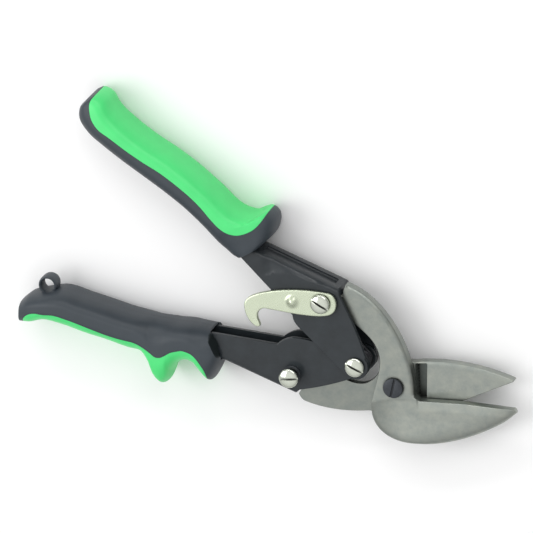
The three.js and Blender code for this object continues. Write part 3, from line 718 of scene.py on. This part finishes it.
place(ring("upper_shim", UPPER_LINK, 5.4, PIN_BORE, 5.8, 6.5, 0.12), "upper_handle", "plated_screws",
      ["upper_link_shim"])
place(ring("upper_spacer", UPPER_LINK, SPACER_R, PIN_BORE, -6.5, -0.3), "upper_handle", "plated_screws",
      ["upper_link_spacer"])
place(ring("lower_spacer", LOWER_LINK, SPACER_R, PIN_BORE, 0.3, 4.0), "lower_handle", "plated_screws",
      ["lower_link_spacer"])
place(ring("sleeve", HANDLE_PIVOT, 3.95, PIN_BORE, -3.9, 3.9, 0.15), "lower_handle", "plated_screws",
      ["spring_sleeve"])

# ---- latch: a pressed hook with a dimple ----
LATCH_OUTLINE = outline(
    (3.8, -5.9), ("Q", 7.6, -4.4, 7.7, -0.4), ("Q", 7.6, 3.6, 4.3, 4.9), ("C", -6, 6.8, -22, 6.8, -32.4, 3),
    ("Q", -38, 1, -38.3, -2.6), ("C", -38.3, -7.4, -36.2, -11.4, -33, -13.2), ("Q", -31, -13.9, -30.6, -12.4),
    ("Q", -30.9, -11, -31.7, -9.2), ("A", -27.9, -7.9, 3.9, 200, 88), ("C", -20, -5, -14, -6.2, -5.7, -6.6),
    ("Q", 0.4, -6.9, 3.8, -5.9), spacing=0.4,
) + np.array(UPPER_LINK)
DIMPLE = np.array(UPPER_LINK) + np.array((-14, 0.2))
DIMPLE_R, DIMPLE_HEIGHT = 3.9, 1.6


def latch_top(p, d):
    away = np.linalg.norm(p - DIMPLE, axis=1)
    hill = 0.5 + 0.5 * np.cos(np.clip(away / DIMPLE_R, 0, 1) * math.pi)
    return LATCH_TOP - rounded(d, 0.6) + DIMPLE_HEIGHT * hill


def latch_bottom(p, d):
    return LATCH_LOW + rounded(d, 0.25)


latch = sculpted(
    "latch_hook", LATCH_OUTLINE, [circle(UPPER_LINK, PIN_BORE)], latch_top, latch_bottom,
    lines=[circle(DIMPLE, radius, 44) for radius in np.arange(0.5, 4.0, 0.42)],
    grid=0.45, insets=(0.08, 0.2, 0.4, 0.65),
)
place(latch, "latch", "plated_latch", ["latch"], sharp=40)

# ---- handles: pressed channels ----
LOWER_FLANGE = outline(
    (-135, 24.5), ("L", -89.7, 23.1), ("L", -56.9, 19.1), ("Q", -54, 21.9, -49, 22.9),
    ("Q", -40, 22.6, -20.6, 17.1), ("A", *HANDLE_PIVOT, HANDLE_END_R, 100, -100),
    ("Q", -32, -0.9, -46.7, -3.4), ("L", -49, -5.5), ("L", -83.7, 9.3), ("L", -97, 14.6), ("L", -135, 17),
    ("L", -135, 24.5),
)
LOWER_BEND = np.array([(-48.5, -5.7), (-83.7, 9.3), (-97, 14.6), (-135, 17)])
LOWER_BEND_R = 2.2


def lower_face(p, d):
    return INNER_HALF - rounded(d, 0.3) - rounded(distance(p, LOWER_BEND, closed=False), LOWER_BEND_R)


lower_handle = sculpted(
    "lower_channel", LOWER_FLANGE, [circle(HANDLE_PIVOT, PIN_BORE), circle(LOWER_LINK, PIN_BORE)],
    lower_face, lambda p, d: -lower_face(p, d), grid=1.0,
)
LOWER_HOLLOW = [(-97, 17.1), (-83, 11.6), (-48.9, -3), (-47, -8), (0, -8), (0, 30), (-140, 30), (-140, 19.4)]
subtract(lower_handle, prism("hollow", LOWER_HOLLOW, SHEET - INNER_HALF, INNER_HALF - SHEET))
place(lower_handle, "lower_handle", "handle_coating", ["lower_handle"], sharp=28)

UPPER_FLANGE = outline(
    (-113, 103), ("L", -76, 73.4), ("L", -64, 66.4), ("L", -24.4, 49), ("L", -23.6, 45.6),
    ("C", -19, 36, -16, 29, -12.2, 15.4), ("A", *HANDLE_PIVOT, HANDLE_END_R, 40, -140),
    ("L", -43.2, 27.7), ("Q", -47.6, 31.4, -47.5, 35), ("L", -57.9, 47.7), ("L", -72.6, 63.8),
    ("L", -74.4, 67), ("L", -100, 88.2), ("L", -116, 100.6), ("L", -113, 103),
)
UPPER_BEND = np.array([(-113, 103), (-76, 73.4), (-64, 66.4), (-24.4, 49)])
UPPER_BEND_R = 2.6
BEND_LINES = [UPPER_BEND[1:] + np.array((-0.41, -0.91)) * inset for inset in (0.9, 1.4, 2.0, 2.6)]
BEND_LINES = [outline(line[0], *[("L", *q) for q in line[1:]], spacing=0.8) for line in BEND_LINES]
# The flange is pressed in above this line, and fades back to flat at its ends.
EMBOSS = outline(
    (-62.5, 53.4), ("S", [(-59, 55), (-55, 56), (-50, 56.5), (-45, 55.5), (-40, 53.2), (-33, 51), (-26, 50)]),
    spacing=0.7,
)
EMBOSS_STEP, EMBOSS_SLOPE = 0.35, 0.13
# Inside its grip the upper channel is squeezed narrower.
GRIPPED_FROM, GRIPPED_HALF = -74, 7.2


def upper_face(p, d):
    z = OUTER_HALF - rounded(d, 0.3) - rounded(distance(p, UPPER_BEND, closed=False), UPPER_BEND_R)
    return np.where(p[:, 0] < GRIPPED_FROM, np.minimum(z, GRIPPED_HALF), z)


def upper_near(p, d):
    x = p[:, 0]
    over = p[:, 1] - np.interp(x, EMBOSS[:, 0], EMBOSS[:, 1])
    ends = ramp(x, -62.5, -57) * (1 - ramp(x, -34, -26))
    pressed = EMBOSS_STEP * ramp(over, 0.0, 0.8) + EMBOSS_SLOPE * np.clip(over, 0, 6)
    return upper_face(p, d) - ends * pressed


upper_handle = sculpted(
    "upper_channel", UPPER_FLANGE, [circle(HANDLE_PIVOT, PIN_BORE), circle(UPPER_LINK, PIN_BORE)],
    upper_near, lambda p, d: -upper_face(p, d), lines=[EMBOSS, *BEND_LINES], grid=1.0,
)
UPPER_HOLLOW = [
    (-77, 71), (-64.6, 63.8), (-20, 44.2), (0, 40), (0, -8), (-40, 0), (-60, 44), (-125, 92), (-118, 104.2),
]
WEB_ANGLE = math.degrees(math.atan2(49 - 66.4, -24.4 + 64))
groove = bevel(block("groove", (-44.4, 58.0, 0), (38, 3.0, 6.6), WEB_ANGLE), 0.9, 4)
subtract(upper_handle, prism("hollow", UPPER_HOLLOW, SHEET - OUTER_HALF, OUTER_HALF - SHEET), groove)
place(upper_handle, "upper_handle", "handle_coating", ["upper_handle"], sharp=28)

# ---- grips ----
SECTION = [
    (1, 0), (0.97, 0.36), (0.87, 0.66), (0.66, 0.89), (0.36, 1), (0, 1),
    (-0.3, 0.98), (-0.58, 0.87), (-0.8, 0.68), (-0.94, 0.38), (-1, 0),
]
RING = [*SECTION, *[(a, -b) for a, b in SECTION[-2:0:-1]]]
# Upper edge x, y, lower edge x, y, half thickness.
UPPER_GRIP = [
    (-61.4, 68.9, -74.8, 61.6, 11.4), (-55.8, 74.9, -77.4, 62.4, 12), (-54.5, 82.4, -80.8, 65, 12.4),
    (-58.2, 85.7, -84.8, 68.6, 12.8), (-64.6, 82.6, -88, 72.7, 13), (-73.2, 84.6, -92.3, 78, 13),
    (-83.4, 94, -101.2, 86.4, 13), (-93, 102.6, -110.7, 93.8, 13), (-103.4, 110.5, -120.6, 100.9, 13),
    (-114.4, 117.5, -130.1, 107.8, 13), (-124.3, 125, -139, 114.7, 13), (-131.9, 132.5, -146.1, 120.7, 12.6),
    (-135.4, 139, -150.4, 127.4, 11.8), (-139.8, 141, -149.8, 133.2, 10.4), (-143.2, 139.8, -147, 136.4, 7.6),
]
LOWER_GRIP = [
    (-87.8, 24.4, -84.6, 10.2, 11.3), (-90.6, 25, -87.6, 3, 12.4), (-94.4, 25.8, -91.6, -2, 12.9),
    (-97.4, 26.1, -95.4, 2, 13), (-100, 26.4, -98.6, 6.4, 13), (-103.6, 26.6, -102.4, 8, 13),
    (-107.4, 26.8, -106.8, 6.8, 13), (-110.6, 27.3, -110.6, 2.4, 13), (-113.4, 27.8, -112.7, -2.8, 13),
    (-116.6, 28.2, -115.8, -4.9, 13), (-119.4, 28.6, -118.6, -2.4, 13), (-122, 28.9, -120.6, 4.6, 13),
    (-126, 29.4, -124.4, 11.2, 13), (-133, 31, -131.6, 13, 13), (-143, 34, -142.2, 16.4, 13),
    (-153, 36.9, -152, 19, 13), (-164, 40, -163, 22.6, 13), (-174, 38.6, -173, 24.8, 12.4),
    (-180.6, 37, -180.8, 23, 10.8), (-185.2, 33.6, -186.2, 22.8, 8),
]
UPPER_GREEN_EDGE = [
    (-128, 150), (-132.4, 144.6), (-135.2, 143.3), (-138.2, 142.3), (-141.1, 140.2), (-142.7, 137.3),
    (-142.6, 133.1), (-141.5, 129), (-138.6, 124.9), (-133.2, 121.1), (-125.2, 115.2), (-117.1, 109.8),
    (-109.1, 105), (-101.1, 99.1), (-94.1, 93.2), (-89.2, 88.2), (-84.3, 82.2), (-80.4, 78.2),
    (-76.3, 75.8), (-72.2, 75.2), (-68, 76.2), (-63.7, 78.5), (-60.4, 81.8), (-57.1, 86.7), (-53.5, 91.1),
]
LOWER_GREEN_EDGE = [
    (-184, 12), (-184.4, 22), (-183.2, 26), (-181.7, 27.7), (-179.6, 29.1), (-176.4, 29.9), (-171.9, 29.6),
    (-166.7, 29.7), (-160.5, 28.1), (-154.4, 26.1), (-146.3, 23.1), (-139.5, 20.8), (-132.6, 19.2),
    (-127.1, 18.1), (-122.4, 15.9), (-119.1, 13.6), (-116.4, 11.5), (-114, 11.3), (-111.5, 12.4),
    (-108.7, 14), (-105.8, 14.8), (-103.1, 15.3), (-101, 14.9), (-98.3, 13.8), (-96.3, 12), (-94.4, 9.3),
    (-93, 6.8), (-92.2, 4.3), (-92, -2), (-91.6, -10),
]
SEAM = 0.1


def loft(name, stations, steps, around):
    """Smooth tube through the stations, closed by domed ends."""
    table = np.array(stations, float)
    knots = np.array([*RING, RING[0]], float)
    loop = np.array([spline(knots, t) for t in np.linspace(0, 1, around, endpoint=False)])
    loop = np.clip(loop, -1, 1)
    verts = []
    for k in range(steps + 1):
        t = k / steps
        a, b = spline(table[:, 0:2], t), spline(table[:, 2:4], t)
        index = np.column_stack([np.arange(len(table)), table[:, 4]])
        thick = min(spline(index, t)[1], GRIP_HALF)
        middle, reach = (a + b) / 2, (a - b) / 2
        for across, up in loop:
            verts.append((*(middle + reach * across), thick * up))
    faces = []
    for k in range(steps):
        for j in range(around):
            m = (j + 1) % around
            low, high = k * around, (k + 1) * around
            faces.append([low + j, high + j, high + m, low + m])
    faces.append(list(range(around)))
    faces.append([steps * around + j for j in range(around)][::-1])
    obj = mesh_object(name, verts, faces)
    clean(obj)
    return obj


def copy_of(obj, name):
    made = bpy.data.objects.new(name, obj.data.copy())
    bpy.context.scene.collection.objects.link(made)
    return made


def split_grip(whole, names, edge, corners):
    knots = np.array(edge, float)
    smooth = [spline(knots, t) for t in np.linspace(0, 1, 6 * len(knots))]
    region = np.array([*smooth, *corners])
    turn = (region[:, 0] * np.roll(region[:, 1], -1) - region[:, 1] * np.roll(region[:, 0], -1)).sum()
    ahead = np.roll(region, -1, axis=0) - np.roll(region, 1, axis=0)
    outward = np.stack([ahead[:, 1], -ahead[:, 0]], 1) * (1 if turn > 0 else -1)
    outward /= np.linalg.norm(outward, axis=1, keepdims=True)
    black = copy_of(whole, names[0])
    subtract(black, prism("region", region + outward * SEAM, -20, 20))
    green = whole
    green.name = names[1]
    tool = prism("region", region, -20, 20)
    combine(green, tool, "INTERSECT")
    bpy.data.objects.remove(tool)
    return black, green


upper_whole = loft("upper_whole", UPPER_GRIP, 150, 72)
bevel(upper_whole, 1.6, 4, 50)
upper_socket = [
    (-116, 106.2), (-77, 75.2), (-65, 68.4), (-50, 64), (-60, 46), (-72.6, 63.2), (-74.8, 66.6),
    (-100.2, 87.7), (-118, 101.4),
]
upper_mouth = [(-74.8, 73.4), (-65, 68.4), (-50, 64), (-60, 46), (-72.8, 63.2), (-74.8, 66.6)]
subtract(upper_whole, prism("socket", upper_socket, -7.5, 7.5), prism("mouth", upper_mouth, -9.2, 9.2))
black, green = split_grip(
    upper_whole, ("upper_grip_black", "upper_grip_green"), UPPER_GREEN_EDGE, [(-40, 110), (-80, 160)]
)
place(black, "upper_handle", "black_vinyl", ["upper_grip"], sharp=38)
place(green, "upper_handle", "green_vinyl", ["upper_grip_overlay"], sharp=38)

lower_whole = loft("lower_whole", LOWER_GRIP, 200, 72)
bevel(lower_whole, 1.6, 4, 50)
lower_socket = [(-137, 27), (-90, 23.9), (-80, 22.8), (-80, 7.6), (-97.3, 14.2), (-137, 16.6)]
# The black grip's end slants back from each flange to a raised lip. MOUTH_LIP is on the lip, MOUTH_FOOT is on
# the flange, and MOUTH_OUT points out of the slanted end.
MOUTH_LIP = np.array([
    (-90.0, 24.4, 9.0), (-89.7, 21.4, 11.6), (-89.5, 19.1, 11.8), (-88.6, 16.9, 11.8), (-87.3, 14, 11.6),
    (-85.8, 11.8, 10.9), (-83.4, 10, 8.0),
])
MOUTH_FOOT = np.array([
    (-89.8, 24.2, 8.6), (-88.4, 21.1, 6.6), (-87, 19.1, 6.6), (-85.5, 15.9, 6.6), (-84.7, 13.5, 6.6),
    (-84, 11.5, 6.6), (-83.3, 9.8, 7.6),
])
MOUTH_OUT = np.array((0.82, 0.25, 0.52))


def mouth_strip(name, inset, outset, mirror):
    """Strip over the slanted end, from inset behind it to outset in front, on the near or the far side."""
    flip = np.array((1, 1, mirror))
    curves = (MOUTH_LIP, MOUTH_FOOT)
    rows = [(curve + MOUTH_OUT * shift) * flip for shift in (inset, outset) for curve in curves]
    n = len(MOUTH_LIP)
    faces = []
    for a, b in ((0, 1), (1, 3), (3, 2), (2, 0)):
        faces += [[a * n + i, a * n + i + 1, b * n + i + 1, b * n + i] for i in range(n - 1)]
    faces += [[0, n, 3 * n, 2 * n], [n - 1, 2 * n - 1, 4 * n - 1, 3 * n - 1]]
    made = mesh_object(name, np.vstack(rows), faces)
    clean(made)
    return made


lower_slice = [(-90.4, 28), (-89.9, 24.4), (-88.4, 21.1), (-87, 19.1), (-80, 19.1), (-80, 28)]
# A thin near-black sheet over each slanted end paints the shade inside the lower grip's mouth.
SHADE_SHEET_HALF = 0.3
for name, mirror in (("lower_mouth_shade_near", 1), ("lower_mouth_shade_far", -1)):
    strip = mouth_strip(name, -SHADE_SHEET_HALF, SHADE_SHEET_HALF, mirror)
    combine(strip, lower_whole, "INTERSECT")
    place(strip, "lower_handle", "mouth_shade_sheet")
subtract(lower_whole, prism("socket", lower_socket, -6.8, 6.8), prism("end", lower_slice, -14, 14),
         mouth_strip("near_mouth", 0, 9, 1), mouth_strip("far_mouth", 0, 9, -1))
drop_crumbs(lower_whole)
black, green = split_grip(
    lower_whole, ("lower_grip_black", "lower_grip_green"), LOWER_GREEN_EDGE, [(-95, -16), (-184, -16)]
)

LANYARD = (-171.6, 41.8)
LANYARD_R, LANYARD_HOLE, LANYARD_HALF = 4.7, 3.1, 4.0
middle, wide = (LANYARD_R + LANYARD_HOLE) / 2, (LANYARD_R - LANYARD_HOLE) / 2
loop_profile = []
for k in range(17):
    a = 2 * math.pi * k / 16
    loop_profile.append((
        middle + wide * math.copysign(abs(math.cos(a)) ** 0.7, math.cos(a)),
        LANYARD_HALF * math.copysign(abs(math.sin(a)) ** 0.7, math.sin(a)),
    ))
lanyard = turned("lanyard", LANYARD, loop_profile)
combine(black, lanyard, "UNION")
bpy.data.objects.remove(lanyard)
subtract(black, turned("hole", LANYARD, [(0, -8), (LANYARD_HOLE, -8), (LANYARD_HOLE, 8), (0, 8)]))
place(black, "lower_handle", "black_vinyl", ["lower_grip"], sharp=38)
place(green, "lower_handle", "green_vinyl", ["lower_grip_overlay"], sharp=38)

# ---- torsion spring: its front leg rests on the lower handle's spacer, the back leg on the upper one's ----
SPRING_R, WIRE, PITCH, TURNS = 5.0, 1.5, 1.65, 3
SPRING_TOP = (TURNS + 0.25) * PITCH / 2


def leg(link, side):
    """End of a leg beside its spacer, and the angle at which it leaves the coil."""
    to_link = (np.array(link) - HANDLE_PIVOT) / np.linalg.norm(np.array(link) - HANDLE_PIVOT)
    reach = SPACER_R + WIRE / 2 + GAP
    end = np.array((link[0] - side * to_link[1] * reach, link[1] + side * to_link[0] * reach))
    offset = end - HANDLE_PIVOT
    return end, math.atan2(offset[1], offset[0]) - side * math.acos(SPRING_R / np.linalg.norm(offset))


lower_end, start_angle = leg(LOWER_LINK, -1)
upper_end, end_angle = leg(UPPER_LINK, 1)
sweep = (end_angle - start_angle) % (2 * math.pi) + 2 * math.pi * (TURNS - 1)
path = [(*lower_end, SPRING_TOP)]
for k in range(181):
    u = k / 180
    a = start_angle + sweep * u
    x, y = HANDLE_PIVOT[0] + SPRING_R * math.cos(a), HANDLE_PIVOT[1] + SPRING_R * math.sin(a)
    path.append((x, y, SPRING_TOP * (1 - 2 * u)))
path.append((*upper_end, -SPRING_TOP))
line = np.array(path)
legs = np.linspace(line[0], line[1], 20)[:-1], np.linspace(line[-2], line[-1], 20)[1:]
line = np.vstack([legs[0], line[1:-1], legs[1]])
verts, faces = [], []
SIDES = 16
for k, at in enumerate(line):
    ahead = line[min(k + 1, len(line) - 1)] - line[max(k - 1, 0)]
    ahead /= np.linalg.norm(ahead)
    side = np.cross(ahead, (0, 0, 1))
    side /= np.linalg.norm(side)
    lift = np.cross(side, ahead)
    for j in range(SIDES):
        a = 2 * math.pi * j / SIDES
        verts.append(at + WIRE / 2 * (side * math.cos(a) + lift * math.sin(a)))
    if k:
        low, high = (k - 1) * SIDES, k * SIDES
        faces += [[low + j, low + (j + 1) % SIDES, high + (j + 1) % SIDES, high + j] for j in range(SIDES)]
faces += [list(range(SIDES))[::-1], [len(verts) - SIDES + j for j in range(SIDES)]]
spring = mesh_object("spring_coil", verts, faces)
clean(spring)
place(spring, None, "spring_steel", ["torsion_spring"])
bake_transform(spring)

# ---- camera: far away and with a long lens ----
VIEW = Vector((0.291, 0.323, 0.900)).normalized()
TURN = Vector((0, 0, 1)).rotation_difference(VIEW)
RIGHT, UP = TURN @ Vector((1, 0, 0)), TURN @ Vector((0, 1, 0))
FRAME_WIDTH = 0.25381
CAMERA_DISTANCE = 6.0
target = TO_ROW @ Vector((*BLADE_PIVOT, 6.8)) + RIGHT * -0.06007 + UP * 0.05810
camera = bpy.data.objects.new("camera", bpy.data.cameras.new("camera"))
bpy.context.scene.collection.objects.link(camera)
facing = Matrix((RIGHT, UP, VIEW)).transposed().to_4x4()
camera.matrix_world = Matrix.Translation(target + VIEW * CAMERA_DISTANCE) @ facing
camera.data.sensor_width = 36
camera.data.lens = 36 * CAMERA_DISTANCE / FRAME_WIDTH
camera.data.clip_start = 0.1
camera.data.clip_end = 50
bpy.context.scene.camera = camera

# ---- floor and light ----
floor = mesh_object("floor", [(-4, -4, 0), (4, -4, 0), (4, 4, 0), (-4, 4, 0)], [(0, 1, 2, 3)])
pale = bpy.data.materials.new("pale_floor")
pale.use_nodes = True
pale.node_tree.nodes["Principled BSDF"].inputs["Base Color"].default_value = (0.93, 0.93, 0.93, 1)
pale.node_tree.nodes["Principled BSDF"].inputs["Roughness"].default_value = 0.9
floor.data.materials.append(pale)

world = bpy.data.worlds.new("studio")
world.use_nodes = True
sky = world.node_tree
sky.nodes["Background"].inputs["Color"].default_value = (1, 1, 1, 1)
direction = sky.nodes.new("ShaderNodeTexCoord")
toward = sky.nodes.new("ShaderNodeVectorMath")
toward.operation = "DOT_PRODUCT"
toward.inputs[1].default_value = Vector((-0.22, -0.12, 0.95)).normalized()
level = sky.nodes.new("ShaderNodeMapRange")
level.inputs["From Min"].default_value = 0.0
level.inputs["To Min"].default_value = 0.22
level.inputs["To Max"].default_value = 1.08
sky.links.new(direction.outputs["Generated"], toward.inputs[0])
sky.links.new(toward.outputs["Value"], level.inputs["Value"])
sky.links.new(level.outputs["Result"], sky.nodes["Background"].inputs["Strength"])
bpy.context.scene.world = world


def softbox(name, place_at, aim, size, energy, shape_y=None):
    light = bpy.data.lights.new(name, "AREA")
    light.shape = "RECTANGLE"
    light.size, light.size_y, light.energy = size, shape_y or size, energy
    obj = bpy.data.objects.new(name, light)
    bpy.context.scene.collection.objects.link(obj)
    obj.location = place_at
    obj.rotation_mode = "QUATERNION"
    obj.rotation_quaternion = (Vector(aim) - Vector(place_at)).to_track_quat("-Z", "Y")


softbox("key", (-0.9, 0.15, 1.1), (0, 0, 0), 0.9, 6)
softbox("strip", (-0.2, 1.25, 0.75), (0, 0, 0), 1.2, 4, 0.15)
softbox("fill", (0.5, 0.9, 0.9), (0, 0, 0), 0.7, 3)
bpy.context.scene.view_settings.view_transform = "Standard"
